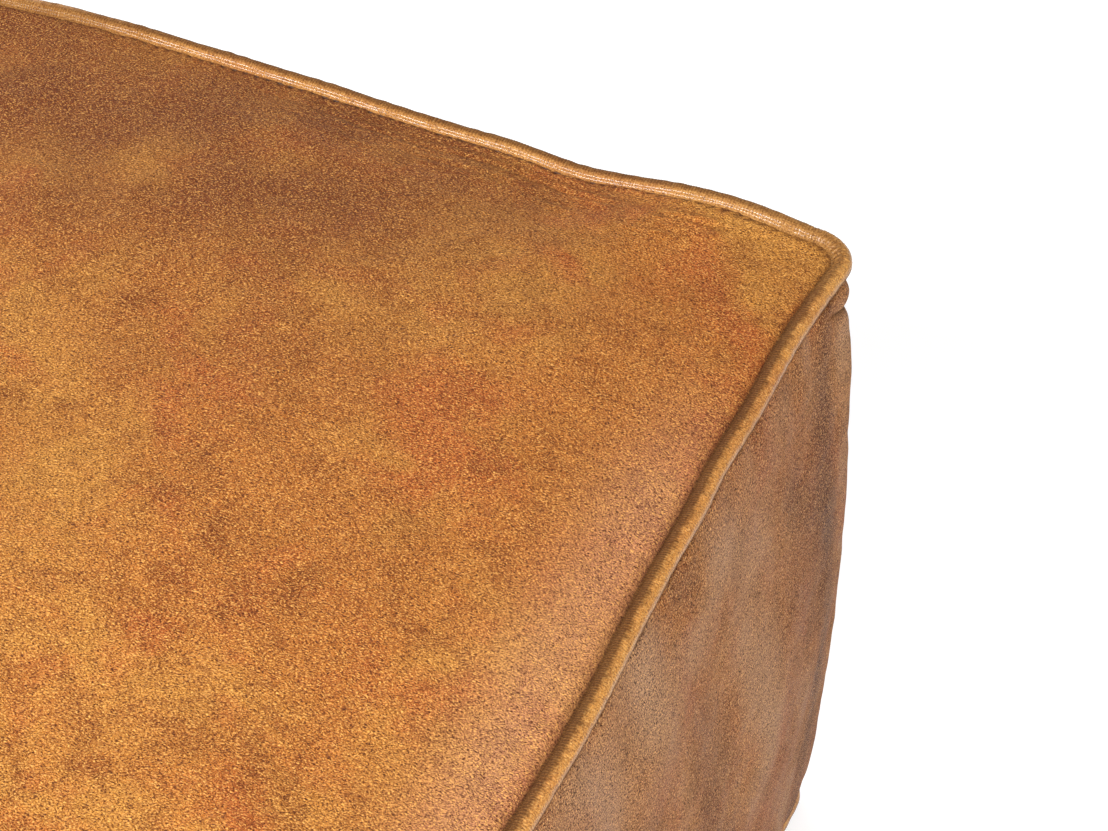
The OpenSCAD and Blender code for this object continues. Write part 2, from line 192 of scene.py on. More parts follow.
def strips(start_a, count_a, start_b, count_b, closed):
    """Faces between two rows of points; one row may have twice as many steps as the other."""
    steps_a = count_a if closed else count_a - 1
    steps_b = count_b if closed else count_b - 1
    few = min(steps_a, steps_b)
    k = np.arange(few)
    if steps_a == steps_b:
        j = (k + 1) % count_a if closed else k + 1
        return [np.stack([start_a + k, start_a + j, start_b + j, start_b + k], 1)]
    fine_a = steps_a > steps_b
    many, coarse = (count_a, count_b) if fine_a else (count_b, count_a)
    f, g = (start_a, start_b) if fine_a else (start_b, start_a)
    j = (k + 1) % coarse if closed else k + 1
    f0, f1, f2 = f + 2 * k, f + 2 * k + 1, f + ((2 * k + 2) % many if closed else 2 * k + 2)
    triangles = [np.stack(t, 1) for t in ((f0, f1, g + k), (f1, g + j, g + k), (f1, f2, g + j))]
    return triangles if fine_a else [t[:, ::-1] for t in triangles]


def loft(rows, closed=True, ring=False, poles=False):
    """Points and faces of a surface through rows of points. closed: each row is a loop. ring: the
    last row joins the first. poles: the first and last rows each close on a middle point."""
    starts = np.cumsum([0] + [len(r) for r in rows])
    faces = []
    pairs = list(zip(range(len(rows)), range(1, len(rows))))
    if ring:
        pairs.append((len(rows) - 1, 0))
    for i, j in pairs:
        faces += strips(starts[i], len(rows[i]), starts[j], len(rows[j]), closed)
    points = np.concatenate(rows)
    if poles:
        for row, start, flip in ((rows[0], 0, True), (rows[-1], starts[-2], False)):
            k = np.arange(len(row))
            fan = np.stack([start + k, start + (k + 1) % len(row), np.full_like(k, len(points))], 1)
            faces.append(fan[:, ::-1] if flip else fan)
            points = np.concatenate([points, row.mean(0)[None]])
    return points, faces


def make_piece(name, points, faces, marks=None):
    """A smooth-shaded object from points in millimetres and arrays of faces, with named values
    at its points for its material to read."""
    mesh = bpy.data.meshes.new(name)
    polygons = [p for group in faces for p in group.tolist()]
    mesh.from_pydata((points * MM).tolist(), [], polygons)
    for mark, values in (marks or {}).items():
        attribute = mesh.attributes.new(mark, "FLOAT", "POINT")
        attribute.data.foreach_set("value", np.asarray(values, np.float32))
    mesh.shade_smooth()
    mesh.validate()
    piece = bpy.data.objects.new(name, mesh)
    bpy.context.scene.collection.objects.link(piece)
    return piece


def outward(piece):
    """Turns every face of a closed piece to look outward."""
    work = bmesh.new()
    work.from_mesh(piece.data)
    bmesh.ops.recalc_face_normals(work, faces=work.faces)
    work.to_mesh(piece.data)
    work.free()


def closed_shell(name, rows, poles):
    points, faces = loft(rows, closed=True, ring=not poles, poles=poles)
    piece = make_piece(name, points, faces)
    outward(piece)
    return piece


def finish_piece(piece, body, material, stands_for=()):
    piece.data.materials.append(material)
    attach(piece, body)
    if stands_for:
        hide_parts(*stands_for)


# ---------------------------------------------------------------- top leather

FINE_TO = 25
MIDDLE_TO = 66
COARSE_TO = 150
TOP_REACH = 222
TOP_ROWS = np.concatenate([
    np.arange(0, FINE_TO),
    np.arange(FINE_TO + 1, MIDDLE_TO, 2),
    np.arange(MIDDLE_TO + 1, TOP_REACH, 3),
])
CREASE_DEPTH = 1.9
CREASE_W = 1.6


def row_stations(w):
    """Stations for a row that lies w from the seam: closer beside the seam."""
    share = 1 if w < FINE_TO else 2 if w < MIDDLE_TO else 4 if w < COARSE_TO else 8
    return np.arange(0, SEGMENTS, share) * LOOP / SEGMENTS


def crown_share(v):
    return 1 - np.minimum(1, np.abs(v) / (EDGE_H - TUCK)) ** CROWN_POWER


def top_base(s, w):
    """The top leather without its wrinkles: it rises out of the seam and over the crown."""
    x, y, nx, ny, _ = stations(s)
    out, up = edge_wave(s)
    near = np.exp(-(w / 70.0) ** 2)
    scale = 1 - w / (EDGE_H - TUCK)
    rim_x, rim_y = x - nx * TUCK, y - ny * TUCK
    px, py = rim_x * scale, rim_y * scale
    z = EDGE_Z + RIM + (CROWN - RIM) * crown_share(px) * crown_share(py)
    z = z + up * near - CREASE_DEPTH * np.exp(-w / CREASE_W)
    return np.stack([px + nx * out * near, py + ny * out * near, z], 1)


def parallel_folds(s, w):
    """A ridge beside the seam and soft folds further in, along some stretches of the edge: the
    back edge near the corner most, then the stretches well away from it."""
    c = from_corner(s)
    along = bump(c, 150, 120, 4) + 0.5 * bump(c, -300, 200, 4) + 0.6 * bump(np.abs(c), 800, 250, 4)
    drift = 5 * round_loop(s, 150, 21)
    folds = np.cos(2 * math.pi * (w + drift) / 11.0) + 0.7 * np.cos(2 * math.pi * (w + 1.6 * drift) / 6.4)
    ridge = 0.9 * bump(w, 4.4, 2.2) - 0.9 * bump(w, 12, 6)
    soft = 0.45 * folds * bump(w, 18, 16) * (1 + 0.6 * round_loop(s, 60, 22))
    return along * (ridge + soft)


def dimples(s, w):
    """How deep each stitch pulls the leather in beside the seam, from 0 to 1: they show most
    along the back edge."""
    tight = 0.15 + 0.85 * bump(from_corner(s), 190, 190, 6)
    return tight * (0.5 + 0.5 * np.cos(2 * math.pi * s / STITCH)) ** 2 * bump(w, 2.6, 1.9)


def gathers(s, seed):
    """Small cross ripples where the leather is eased into a seam."""
    strength = 0.7 + 0.5 * round_loop(s, 45, seed)
    return strength * (0.6 * round_loop(s, 3.6, seed + 1, 4) + 0.6 * round_loop(s, 6.5, seed + 2, 4))


def top_relief(s, w, points):
    small = 0.12 * field(points, 17, 33) * smooth(w / 30)
    tension = 0.3 * round_loop(s, 22, 34) * bump(w, 9, 12)
    seam = 0.14 * gathers(s, 41) * np.exp(-w / 6.0) - 0.6 * dimples(s, w)
    return small + tension + seam + parallel_folds(s, w)


def normals_of(surface, s, w, outward_sign):
    step = 0.6
    across = surface(s + step, w) - surface(s - step, w)
    over = surface(s, w + step) - surface(s, w - step)
    normal = outward_sign * np.cross(over, across)
    return normal / np.maximum(1e-9, np.linalg.norm(normal, axis=1))[:, None]


def top_lumps(w, points):
    """The filling's soft unevenness under the top, which fades towards the seam."""
    lump = 1.5 * field(points, 120, 31) + 0.55 * field(points, 45, 32)
    return lump * smooth(w / 60)


def top_row(w):
    s = row_stations(w)
    base = top_base(s, w)
    relief = top_lumps(w, base) + top_relief(s, w, base)
    points = base + normals_of(top_base, s, w, -1) * relief[:, None]
    # painted shade: darker in the seam's crease and in the stitch dimples
    crease_shade = np.exp(-w / 1.1) + 0.9 * dimples(s, w)
    return points, np.clip(crease_shade, 0, 1), top_light_and_shade(points)


def top_light_and_shade(points):
    """Painted light and shade on the top: painted shade darker towards the back edge and the left,
    where the crown faces away from the key light, and a painted highlight paler along the right
    edge, where the leather rolls towards it. Above 0 is darker."""
    x, y = points[:, 0], points[:, 1]
    # painted shade: darker towards the back edge and the left, where the crown faces away from the key
    # light
    back = smooth((y + 60) / 250) * smooth((170 - x) / 200)
    # painted highlight: paler along the right edge, where the leather rolls towards the key light
    right = bump(x, EDGE_H - TUCK - 14, 22) * smooth((150 - y) / 120)
    return np.clip(0.95 * back * (1 + 0.35 * field(points, 60, 36)) - 0.45 * right, -1, 1)


def under_top(s, w, depth):
    """Points a depth below the top leather's outer face, without its small wrinkles."""
    base = top_base(s, w)
    return base + normals_of(top_base, s, w, -1) * (top_lumps(w, base) - depth)[:, None]


def top_leather():
    outer = [top_row(w) for w in TOP_ROWS]
    inner = [under_top(row_stations(w), w, BACK_FACE) for w in TOP_ROWS[1::4]]
    tucked = top_base(row_stations(0), 0.0) - [0, 0, 1.0]
    rows = even_out(list(reversed(inner)) + [tucked] + [points for points, _, _ in outer])
    points, faces = loft(rows, poles=True)
    seen = sum(len(p) for p, _, _ in outer)
    hidden = len(points) - seen - 2
    # the crease mark carries painted shade; the tone mark carries painted shade and highlight
    crease_shade = np.concatenate([np.ones(hidden)] + [c for _, c, _ in outer] + [[0.0, 0.0]])
    tone = np.concatenate([np.zeros(hidden)] + [t for _, _, t in outer] + [[0.0, outer[-1][2].mean()]])
    piece = make_piece("top_leather", points, faces, {"crease_shade": crease_shade, "tone": tone})
    outward(piece)
    return piece


def even_out(rows):
    """Where the next row has a quarter or fewer of a row's points, adds rows between them that
    halve the number each time."""
    result = [rows[0]]
    for row in rows[1:]:
        while len(row) > 2 * len(result[-1]):
            longer = len(row)
            while longer > 2 * len(result[-1]):
                longer //= 2
            result.append(row[:: len(row) // longer] * 0.5 + np.repeat(result[-1], 2, 0) * 0.5)
        while len(result[-1]) > 2 * len(row):
            last = result[-1][::2]
            result.append(last * 0.5 + np.repeat(row, len(last) // len(row), 0) * 0.5)
        result.append(row)
    return result


# ---------------------------------------------------------------- side leather

SIDE_FINE = 25.0
SIDE_ROWS = np.concatenate([
    np.arange(0, SIDE_FINE, 1.0),
    np.arange(SIDE_FINE + 2, SIDE_H - SIDE_FINE - 1, 3.0),
    SIDE_H - np.arange(SIDE_FINE, -0.5, -1.0),
])


def belly(t):
    return np.sin(math.pi * np.clip(t, 0, 1) ** BELLY_SAG) ** BELLY_BOXINESS


def side_base(s, w):
    """The side leather without its wrinkles, at a depth w below its top edge."""
    x, y, nx, ny, near_middle = stations(s)
    out, up = edge_wave(s)
    fade = np.exp(-w / 90.0)
    swell = CORNER_SWELL + (SIDE_SWELL - CORNER_SWELL) * near_middle
    offset = swell * belly(np.full_like(x, 1 - w / SIDE_H)) - SIDE_INSET + out * fade
    z = SIDE_HI - w + up * fade
    return np.stack([x + nx * offset, y + ny * offset, z], 1)


def pucker(s, w):
    """A sharp crease that starts below the back right corner and runs forward under the piping."""
    c = from_corner(s)
    line = 25 + 0.45 * c - 0.002 * np.minimum(c, 0) ** 2
    reach = bump(c, 2, 26, 4)
    across = w - line
    ridges = 2.6 * bump(across, -10, 7) + 0.8 * bump(across, 8, 6)
    return reach * (ridges - 2.6 * np.exp(-np.abs(across) / 2.2))


def side_lumps(s, w, points):
    """The filling's soft unevenness behind the side, and the soft folds that hang from its seams."""
    depth = np.minimum(w, SIDE_H - w)
    lump = 1.6 * field(points, 170, 51) + 0.7 * field(points, 60, 52)
    folds = 0.8 * round_loop(s, 30, 54) * np.exp(-depth / 30) * smooth(depth / 6)
    return lump * smooth(depth / 70) + folds


def side_relief(s, w, points):
    depth = np.minimum(w, SIDE_H - w)
    small = 0.15 * field(points, 22, 53) * smooth(depth / 30)
    seam = 0.3 * gathers(s, 61) * np.exp(-depth / 7)
    return small + seam + pucker(s, w)


def behind_side(s, w, depth):
    """Points a depth behind the side leather's outer face, without its small wrinkles."""
    base = side_base(s, w)
    extra = np.clip(-pucker(s, w), 0, 3)
    return base + normals_of(side_base, s, w, 1) * (side_lumps(s, w, base) - depth - extra)[:, None]


def mid_seam(s):
    """Distance to the seam at the middle of the front or the back."""
    return np.abs((s + LOOP / 4) % (LOOP / 2) - LOOP / 4)


def side_row(w, s):
    base = side_base(s, w)
    relief = side_lumps(s, w, base) + side_relief(s, w, base)
    gap = mid_seam(s)
    relief -= 1.5 * np.exp(-gap / 1.6)
    relief -= 0.5 * np.exp(-gap / 1.2) * np.cos(2 * math.pi * w / STITCH)
    points = base + normals_of(side_base, s, w, 1) * relief[:, None]
    depth = min(w, SIDE_H - w)
    pulled = np.clip(-pucker(s, w) / 2.6, 0, 1)
    # painted shade: darker beside the top and base seams, in the pucker's crease and along the middle
    # seams
    crease_shade = np.exp(-(depth / 4.2) ** 4) + pulled + np.exp(-gap / 1.2)
    return points, np.clip(crease_shade, 0, 1), side_tone_and_shade(s, w, points)


def side_tone_and_shade(s, w, points):
    """The side's tone with painted light: random clouds drawn out downward, a painted sheen paler
    below the piping, and painted shade darker where the side turns the corner. Above 0 is darker."""
    clouds = 0.30 * field(points * (1, 1, 0.4), 75, 56) + 0.16 * field(points * (1, 1, 0.5), 30, 57)
    # painted sheen: a paler band below the piping
    pale_and_highlight = bump(w, 36, 30) * (0.6 + 0.5 * field(points, 70, 58))
    # painted shade: darker where the side turns the corner away from the light
    turn = bump(corner_gap(s), 21, 13) * (0.25 + 0.75 * bump(from_corner(s), 0, 70, 8))
    return np.clip(clouds + turn - 0.6 * pale_and_highlight * (1 - turn), -1, 1)


def tucked_row(s, inset, z, up_share):
    """A row of the seam allowance, which follows a share of the top seam's waves."""
    x, y, nx, ny, _ = stations(s)
    out, up = edge_wave(s)
    reach = out * up_share - inset
    return np.stack([x + nx * reach, y + ny * reach, z + up * up_share], 1)


def band_stations(half, w):
    fine = w < SIDE_FINE + 1 or w > SIDE_H - SIDE_FINE - 0.5
    count = SEGMENTS // 2 if fine else SEGMENTS // 4
    start = 0 if half > 0 else LOOP / 2
    return start + np.linspace(0.15, LOOP / 2 - 0.15, count + 1)


def side_leather(name, half):
    outer = [side_row(w, band_stations(half, w)) for w in SIDE_ROWS]
    s = band_stations(half, 0)
    top_z, base_z = EDGE_Z - FLANGE_H, BASE_Z + FLANGE_H
    above = [tucked_row(s, ALLOWANCE, top_z, 1), tucked_row(s, TUCK + 0.8, top_z, 1)]
    below = [tucked_row(s, TUCK + 0.8, base_z, 0), tucked_row(s, ALLOWANCE, base_z, 0)]
    inner = []
    for w in np.linspace(SIDE_H - 6, 6, 24):
        t = s if w < 24 or w > SIDE_H - 24 else s[::2]
        inner.append(behind_side(t, w, BACK_FACE))
    back = [tucked_row(s, ALLOWANCE, base_z + LEATHER_T, 0)] + inner
    back.append(tucked_row(s, ALLOWANCE, top_z - LEATHER_T, 1))
    rows = above + [p for p, _, _ in outer] + below + back
    points, faces = loft(rows, closed=False, ring=True)
    dark = [np.ones(len(s))] * 2
    plain = [np.zeros(len(s))] * 2
    # the crease mark carries painted shade; the tone mark carries painted shade and highlight with random
    # tone
    crease_shade = dark + [c for _, c, _ in outer] + dark + [np.ones(len(r)) for r in back]
    tone = plain + [t for _, _, t in outer] + plain + [np.zeros(len(r)) for r in back]
    starts = np.cumsum([0] + [len(r) for r in rows])
    caps = [starts[None, :-1], starts[None, :0:-1] - 1]
    marks = {"crease_shade": np.concatenate(crease_shade), "tone": np.concatenate(tone)}
    piece = make_piece(name, points, faces + caps, marks)
    outward(piece)
    return piece


# ---------------------------------------------------------------- piping

GATHER = 1.35
PIPING_LEATHER_T = 1.2
CORD_R = (cord_high[2] - cord_low[2]) / 2
STRAND = 0.28
LAY = 14
BORE_R = PIPING_R - PIPING_LEATHER_T - 0.15
SLIT_H = 0.1


def gather_phase(s, angle):
    return 2 * math.pi * s / GATHER + 1.2 * np.sin(angle + 0.5) + 2.0 * round_loop(s, 17, 72)


def piping_radius(s, angle):
    """The leather round the cord, with its fine gathers; angle 0 looks outward, 90 degrees up."""
    strength = 0.65 + 0.35 * round_loop(s, 25, 71)
    inner_side = 0.5 - 0.5 * np.cos(angle)
    fine = 0.13 * strength * (0.6 + 0.7 * inner_side) * np.cos(gather_phase(s, angle))
    slow = 0.07 * round_loop(s, 9, 73) + 0.12 * round_loop(s + 9 * angle, 40, 74)
    at_corner = bump(corner_gap(s), 0, 9)
    creases = 0.35 * at_corner * inner_side * np.cos(2 * math.pi * s / 3.1 + 2 * np.sin(2 * angle))
    return PIPING_R + 0.25 + fine + slow + creases


def piping_crease_shade(s, angle):
    """How much painted shade darkens the piping: in its gathers, low down at the seam, on its inner half,
    most of all along the right edge, and on its back-facing half along the back edge."""
    c = from_corner(s)
    share = 0.45 + 0.33 * bump(c, -210, 200, 8) - 0.33 * bump(c, 190, 180, 8)
    edge = 0.42 + 0.10 * round_loop(s, 5, 75) + 0.08 * round_loop(s, 19, 76)
    # painted shade on the inner half, which faces away from the key light
    inner = share * smooth((edge - math.cos(angle)) / 0.5)
    # painted shade on the lower part, down at the seam
    low = smooth((0.30 - math.sin(angle)) / 0.4)
    # painted shade on the back-facing half along the back edge, turned away from the front lights
    back_shade = 0.6 * bump(c, 200, 190, 8) * smooth((math.cos(angle) + 0.62) / 0.5)
    # painted shade in the hollows of the gathers
    gather = 0.5 - 0.5 * np.cos(gather_phase(s, angle))
    return np.clip(inner + back_shade + 0.85 * low + 0.22 * gather, 0, 1)


def piping(name, z, waves):
    """A leather strip folded round the cord: its outer face, then its inner face."""
    count = PIPING_SEGMENTS
    s = np.arange(count) * LOOP / count
    line, normal = centre_line(s, z, waves)
    flange = line - normal * ALLOWANCE
    rows = [flange - UP * FLANGE_H]
    marks = [np.ones(count)]
    for angle in np.radians(np.linspace(-166, 166, 16)):
        r = piping_radius(s, angle)[:, None]
        rows.append(line + normal * r * math.cos(angle) + UP * r * math.sin(angle))
        marks.append(piping_crease_shade(s, angle))
    rows.append(flange + UP * FLANGE_H)
    marks.append(np.ones(count))
    for step, reach in ((2, ALLOWANCE), (4, PIPING_R)):
        rows.append(line[::step] - normal[::step] * reach + UP * SLIT_H)
    for angle in np.radians(np.linspace(165, -165, 9)):
        rows.append(line[::4] + BORE_R * (normal[::4] * math.cos(angle) + UP * math.sin(angle)))
    for step, reach in ((4, PIPING_R), (2, ALLOWANCE)):
        rows.append(line[::step] - normal[::step] * reach - UP * SLIT_H)
    marks += [np.ones(len(row)) for row in rows[len(marks):]]
    points, faces = loft(rows, closed=True, ring=True)
    piece = make_piece(name, points, faces, {"crease_shade": np.concatenate(marks)})
    outward(piece)
    return piece


def twisted_cord(name, z, waves):
    """The cotton cord in a piping: three strands laid round each other."""
    s = np.arange(CORD_SEGMENTS) * LOOP / CORD_SEGMENTS
    line, normal = centre_line(s, z, waves)
    turn = 2 * math.pi * s * round(LOOP / LAY) / LOOP
    rows = []
    for angle in np.radians(np.arange(0, 360, 20)):
        r = (CORD_R - STRAND + STRAND * np.abs(np.cos(1.5 * (angle - turn))))[:, None]
        rows.append(line + r * (normal * math.cos(angle) + UP * math.sin(angle)))
    return closed_shell(name, rows, False)


# ---------------------------------------------------------------- liner

LINER_GAP = 1.2
LINER_T = 0.6
LINER_SHORT = 14
WADDING_DEPTH = LEATHER_T + 2 * LINER_GAP + LINER_T


def liner_lid():
    s = row_stations(COARSE_TO)
    rows = np.arange(ALLOWANCE, TOP_REACH, 7)
    depth = LEATHER_T + LINER_GAP
    outer = [under_top(s, w, depth) for w in rows[::-1]]
    inner = [under_top(s, w, depth + LINER_T) for w in rows[::-1]]
    return closed_shell("liner_lid_cloth", outer + inner[::-1], True)


def liner_side():
    s = row_stations(COARSE_TO)
    rows = np.linspace(LINER_SHORT, SIDE_H - LINER_SHORT, 50)
    depth = LEATHER_T + LINER_GAP
    outer = [behind_side(s, w, depth) for w in rows]
    inner = [behind_side(s, w, depth + LINER_T) for w in rows]
    return closed_shell("liner_side_cloth", outer + inner[::-1], False)


# ---------------------------------------------------------------- filling

def tufted(points, direction, seed):
    """Pushes points of the wadding inward by a few millimetres, into soft tufts."""
    tuft = 1.2 + 0.9 * field(points, 26, seed) + 0.5 * field(points, 11, seed + 1)
    return points - direction * np.maximum(0, tuft)[:, None]


def block_row(s, half, z):
    """A loop of points round a square block with rounded corners."""
    x, y, *_ = stations(s)
    scale = half / EDGE_H
    return np.stack([x * scale, y * scale, np.full_like(x, z)], 1)


def top_wadding():
    low, _ = box_mm("fibre_top")
    s = row_stations(MIDDLE_TO)
    crown = []
    for w in np.arange(ALLOWANCE + 4, TOP_REACH, 5)[::-1]:
        crown.append(tufted(under_top(s, w, WADDING_DEPTH), UP, 81))
    rim = crown[-1]
    wall = [rim * (1, 1, 1 - t) + [0, 0, low[2] * t] for t in np.linspace(0.1, 1, 9)]
    away = sideways(s)
    wall = [tufted(row, away, 83) for row in wall]
    under = [wall[-1] * (f, f, 1) for f in np.linspace(0.95, 0.05, 16)]
    return closed_shell("top_wadding", crown + wall + under, True)


def belt_wadding():
    low, high = box_mm("fibre_belt")
    s = row_stations(MIDDLE_TO)
    half = box_mm("foam_core")[1][0] + 1
    away = sideways(s)
    rows = np.arange(SIDE_HI - high[2], SIDE_HI - low[2], 5)
    outer = [tufted(behind_side(s, w, WADDING_DEPTH), away, 85) for w in rows]
    inner = [block_row(s, half, z) for z in np.linspace(low[2], high[2], 12)]
    return closed_shell("belt_wadding", outer + inner, False)


# ---------------------------------------------------------------- materials

def srgb(red, green, blue):
    """A display colour, 0 to 255, as a linear colour."""
    shares = [c / 255 for c in (red, green, blue)]
    linear = [((c + 0.055) / 1.055) ** 2.4 if c > 0.04045 else c / 12.92 for c in shares]
    return (*linear, 1.0)


class Shader:
    """A material under construction: each method adds a node and returns its output."""

    def __init__(self, name):
        self.material = bpy.data.materials.new(name)
        self.material.use_nodes = True
        self.tree = self.material.node_tree
        self.surface = self.tree.nodes["Principled BSDF"]
        self.place = self.add("ShaderNodeTexCoord").outputs["Object"]

    def add(self, kind, values=(), **settings):
        node = self.tree.nodes.new(kind)
        for key, value in settings.items():
            setattr(node, key, value)
        for key, value in dict(values).items():
            if isinstance(value, bpy.types.NodeSocket):
                self.tree.links.new(value, node.inputs[key])
            else:
                node.inputs[key].default_value = value
        return node

    def noise(self, size, detail=2.0, roughness=0.5, distortion=0.0, place=None):
        values = {"Vector": place or self.place, "Scale": 1 / (size * MM), "Detail": detail,
                  "Roughness": roughness, "Distortion": distortion}
        return self.add("ShaderNodeTexNoise", values).outputs["Fac"]

    def cells(self, size, feature="F1", place=None):
        values = {"Vector": place or self.place, "Scale": 1 / (size * MM)}
        return self.add("ShaderNodeTexVoronoi", values, feature=feature).outputs["Distance"]

    def warp(self, amount, size):
        """The place, pushed about by up to half an amount over some size."""
        values = {"Vector": self.place, "Scale": 1 / (size * MM), "Detail": 2.0}
        noise = self.add("ShaderNodeTexNoise", values).outputs["Color"]
        shift = self.vector("SUBTRACT", {0: noise, 1: (0.5, 0.5, 0.5)})
        scaled = self.vector("SCALE", {0: shift, "Scale": amount * MM})
        return self.vector("ADD", {0: self.place, 1: scaled})

    def vector(self, operation, values):
        return self.add("ShaderNodeVectorMath", values, operation=operation).outputs[0]

    def stretch(self, scale, place=None):
        return self.add("ShaderNodeMapping", {"Vector": place or self.place, "Scale": scale}).outputs[0]

    def attribute(self, name):
        return self.add("ShaderNodeAttribute", attribute_name=name).outputs["Fac"]

    def remap(self, value, low, high, to_low=0.0, to_high=1.0):
        values = {"Value": value, "From Min": low, "From Max": high, "To Min": to_low, "To Max": to_high}
        return self.add("ShaderNodeMapRange", values).outputs["Result"]

    def math(self, operation, a, b=0.0):
        return self.add("ShaderNodeMath", {0: a, 1: b}, operation=operation).outputs[0]

    def mix(self, share, a, b):
        node = self.add("ShaderNodeMix", data_type="RGBA")
        for key, value in ((0, share), (6, a), (7, b)):
            if isinstance(value, bpy.types.NodeSocket):
                self.tree.links.new(value, node.inputs[key])
            else:
                node.inputs[key].default_value = value
        return node.outputs[2]

    def bump(self, height, depth, normal=None, strength=1.0):
        values = {"Height": height, "Distance": depth * MM, "Strength": strength}
        if normal:
            values["Normal"] = normal
        return self.add("ShaderNodeBump", values).outputs[0]

    def set(self, **sockets):
        for key, value in sockets.items():
            socket = self.surface.inputs[key.replace("_", " ")]
            if isinstance(value, bpy.types.NodeSocket):
                self.tree.links.new(value, socket)
            else:
                socket.default_value = value
        return self.material


def leather(name, main, golden, red, deep, pale_and_highlight, pit, ridge, crease_shade_colour, grain_depth,
            roughness, specular, gloss=0.0, mottle=1.0, grain=1.0):
    """Waxed, mottled leather with a fine pebble grain, darker in its pits, with painted shade in its
    creases and seams, and painted shade and highlight mixed with random tone from its tone mark.
    """
    m = Shader(name)
    crease_shade = m.attribute("crease_shade")
    tone = m.attribute("tone")
    broad = m.noise(95, 2.0, 0.55, 0.4)
    patch = m.noise(26, 3.0, 0.6, 0.8)
    reddish = m.noise(48, 3.0, 0.55, 0.6)
    speck = m.noise(5.0, 3.0, 0.65)
    colour = m.mix(m.remap(broad, 0.42, 0.62, 0, 0.9 * mottle), main, golden)
    colour = m.mix(m.remap(reddish, 0.50, 0.68, 0, 0.75 * mottle), colour, red)
    colour = m.mix(m.remap(patch, 0.50, 0.72, 0, 0.6 * mottle), colour, deep)
    colour = m.mix(m.remap(speck, 0.50, 0.72, 0, 0.35 * mottle), colour, deep)
    # painted shade: above 0 the tone mark darkens towards the deep colour, together with darker random
    # tone
    colour = m.mix(m.remap(tone, 0.0, 1.0), colour, deep)
    # painted highlight and sheen: below 0 the tone mark pales towards the pale colour, together with
    # paler random tone
    colour = m.mix(m.remap(tone, 0.0, -1.0), colour, pale_and_highlight)
    along = m.stretch((0.75, 1.15, 0.9), m.warp(2.4, 9))
    fine = m.noise(0.68, 2.0, 0.55, 0.5, along)
    pebble = m.cells(1.2, "DISTANCE_TO_EDGE", along)
    grooves = m.remap(pebble, 0.0, 0.16, 1.0, 0.0)
    colour = m.mix(m.remap(fine, 0.52, 0.68, 0.0, 0.8 * grain), colour, ridge)
    colour = m.mix(m.remap(fine, 0.49, 0.33, 0.0, 0.95 * grain), colour, pit)
    colour = m.mix(m.math("MULTIPLY", grooves, 0.35 * grain), colour, pit)
    # painted shade: the crease mark darkens creases, seams and stitch dimples towards the crease colour
    colour = m.mix(m.remap(crease_shade, 0.0, 1.0, 0.0, 0.92), colour, crease_shade_colour)
    height = m.math("ADD", m.math("MULTIPLY", fine, 1.6), m.remap(pebble, 0.0, 0.25, 0.0, 0.5))
    normal = m.bump(m.noise(3.4, 2.0, 0.5), 0.5)
    normal = m.bump(height, grain_depth, normal)
    shine = m.remap(patch, 0.3, 0.7, roughness - 0.08, roughness + 0.10)
    shine = m.math("ADD", shine, m.remap(fine, 0.5, 0.3, 0.0, 0.2))
    shine = m.math("ADD", shine, m.math("MULTIPLY", crease_shade, 0.6))
    open_face = m.remap(crease_shade, 0.1, 0.75, 1.0, 0.05)
    coat = m.math("MULTIPLY", open_face, gloss)
    return m.set(Base_Color=colour, Roughness=shine, Normal=normal, IOR=1.42,
                 Specular_IOR_Level=specular, Coat_Weight=coat, Coat_Roughness=0.17)


def cover_leather():
    return leather(
        "cover_leather",
        main=srgb(180, 105, 35), golden=srgb(197, 131, 51), red=srgb(180, 88, 30),
        # the pale colour is painted highlight and sheen; the crease colour is painted shade
        deep=srgb(124, 56, 4), pale_and_highlight=srgb(206, 148, 118), pit=srgb(80, 34, 4),
        ridge=srgb(242, 178, 93), crease_shade_colour=srgb(66, 30, 12),
        grain_depth=0.45, roughness=0.45, specular=0.35, mottle=1.15, grain=1.1)


def side_leather_material():
    return leather(
        "side_leather",
        main=srgb(172, 98, 38), golden=srgb(186, 119, 56), red=srgb(172, 84, 32),
        # the pale colour is painted highlight and sheen; the crease colour is painted shade
        deep=srgb(94, 40, 6), pale_and_highlight=srgb(196, 150, 114), pit=srgb(58, 26, 4),
        ridge=srgb(242, 182, 114), crease_shade_colour=srgb(44, 20, 10),
        grain_depth=0.55, roughness=0.56, specular=0.22, grain=1.25)


def piping_leather():
    return leather(
        "piping_leather",
        main=srgb(204, 136, 54), golden=srgb(216, 154, 72), red=srgb(190, 112, 46),
        # the pale colour is painted highlight; the crease colour is painted shade
        deep=srgb(150, 86, 30), pale_and_highlight=srgb(204, 150, 90), pit=srgb(92, 48, 12),
        ridge=srgb(244, 190, 112), crease_shade_colour=srgb(66, 32, 8),
        grain_depth=0.2, roughness=0.36, specular=0.4, gloss=0.8, mottle=0.6, grain=0.8)


def thread_material():
    m = Shader("waxed_thread")
    twist = m.noise(0.5, 2.0, 0.5, place=m.stretch((1, 1, 0.4)))
    colour = m.mix(m.remap(twist, 0.35, 0.65), srgb(58, 30, 14), srgb(92, 52, 26))
    return m.set(Base_Color=colour, Roughness=0.5, Normal=m.bump(twist, 0.1))


